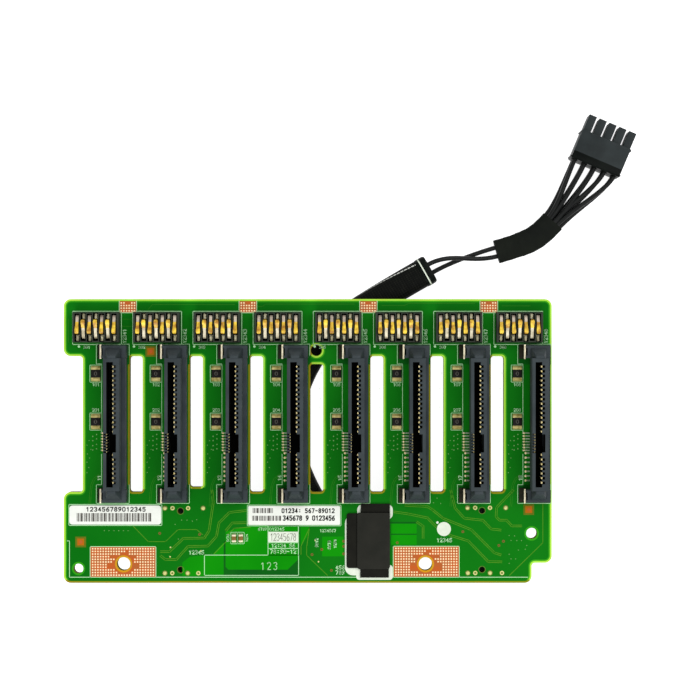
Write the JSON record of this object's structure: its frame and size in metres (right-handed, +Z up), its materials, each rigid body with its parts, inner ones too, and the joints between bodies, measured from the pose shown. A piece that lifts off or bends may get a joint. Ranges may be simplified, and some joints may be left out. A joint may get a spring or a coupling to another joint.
{
  "type": "drive backplane board",
  "caption": "Drive backplane board with a row of upright drive connectors, spring contact blocks along one edge, and a sleeved power cable that leaves from behind it to a loose plug.",
  "frame": {"origin": "centre of the board's outline, at the level that the parts behind the board stand on", "axes": "+X along the board, +Y across it from the fixing holes to the spring contact blocks, +Z up out of the drive connectors"},
  "size_m": [0.16, 0.1309, 0.0179],
  "materials": {
    "board_green": "green solder mask with copper traces, white marks and hatched pads",
    "connector_grey": "moulded dark slate plastic",
    "connector_black": "moulded black plastic",
    "contact_gold": "gold-plated spring contacts",
    "tinned_metal": "bright tin plate",
    "solder": "solder",
    "resistor_black": "black chip with a plain number",
    "capacitor_tan": "tan ceramic",
    "shell_steel": "plain folded steel",
    "plug_black": "moulded black plastic",
    "sleeve_braid": "braided black sleeving with a white tracer",
    "cuff_black": "smooth shrink tube",
    "tape_black": "black adhesive tape",
    "wire_black": "black wire insulation",
    "label_white": "white label with plain stripes"
  },
  "bodies": {
    "root": {"circuit_board": "board_green", "drive_connector_1": "connector_grey", "drive_contacts_1": "contact_gold", "spring_connector_1": "connector_black", "spring_contacts_1": "contact_gold", "drive_connector_2": "connector_grey", "drive_contacts_2": "contact_gold", "spring_connector_2": "connector_black", "spring_contacts_2": "contact_gold", "drive_connector_3": "connector_grey", "drive_contacts_3": "contact_gold", "spring_connector_3": "connector_black", "spring_contacts_3": "contact_gold", "drive_connector_4": "connector_grey", "drive_contacts_4": "contact_gold", "spring_connector_4": "connector_black", "spring_contacts_4": "contact_gold", "drive_connector_5": "connector_grey", "drive_contacts_5": "contact_gold", "spring_connector_5": "connector_black", "spring_contacts_5": "contact_gold", "drive_connector_6": "connector_grey", "drive_contacts_6": "contact_gold", "spring_connector_6": "connector_black", "spring_contacts_6": "contact_gold", "drive_connector_7": "connector_grey", "drive_contacts_7": "contact_gold", "spring_connector_7": "connector_black", "spring_contacts_7": "contact_gold", "drive_connector_8": "connector_grey", "drive_contacts_8": "contact_gold", "spring_connector_8": "connector_black", "spring_contacts_8": "contact_gold", "hold_down_tabs": "tinned_metal", "chip_resistors": "resistor_black", "resistor_terminals": "solder", "chip_capacitors": "capacitor_tan", "capacitor_terminals": "solder", "data_shell_left": "shell_steel", "data_insulator_left": "connector_black", "data_contacts_left": "contact_gold", "data_shell_right": "shell_steel", "data_insulator_right": "connector_black", "data_contacts_right": "contact_gold", "power_header": "connector_black", "power_header_pins": "tinned_metal", "board_plug": "plug_black", "cable_plug": "plug_black", "cable_plug_terminals": "tinned_metal", "cable_sleeve": "sleeve_braid", "sleeve_cuff": "cuff_black", "splice_wrap": "tape_black", "lead_wires": "wire_black", "link_wires": "wire_black", "fan_wires": "wire_black", "cover_tape": "tape_black", "label_left": "label_white", "label_middle": "label_white"}
  },
  "joints": []
}
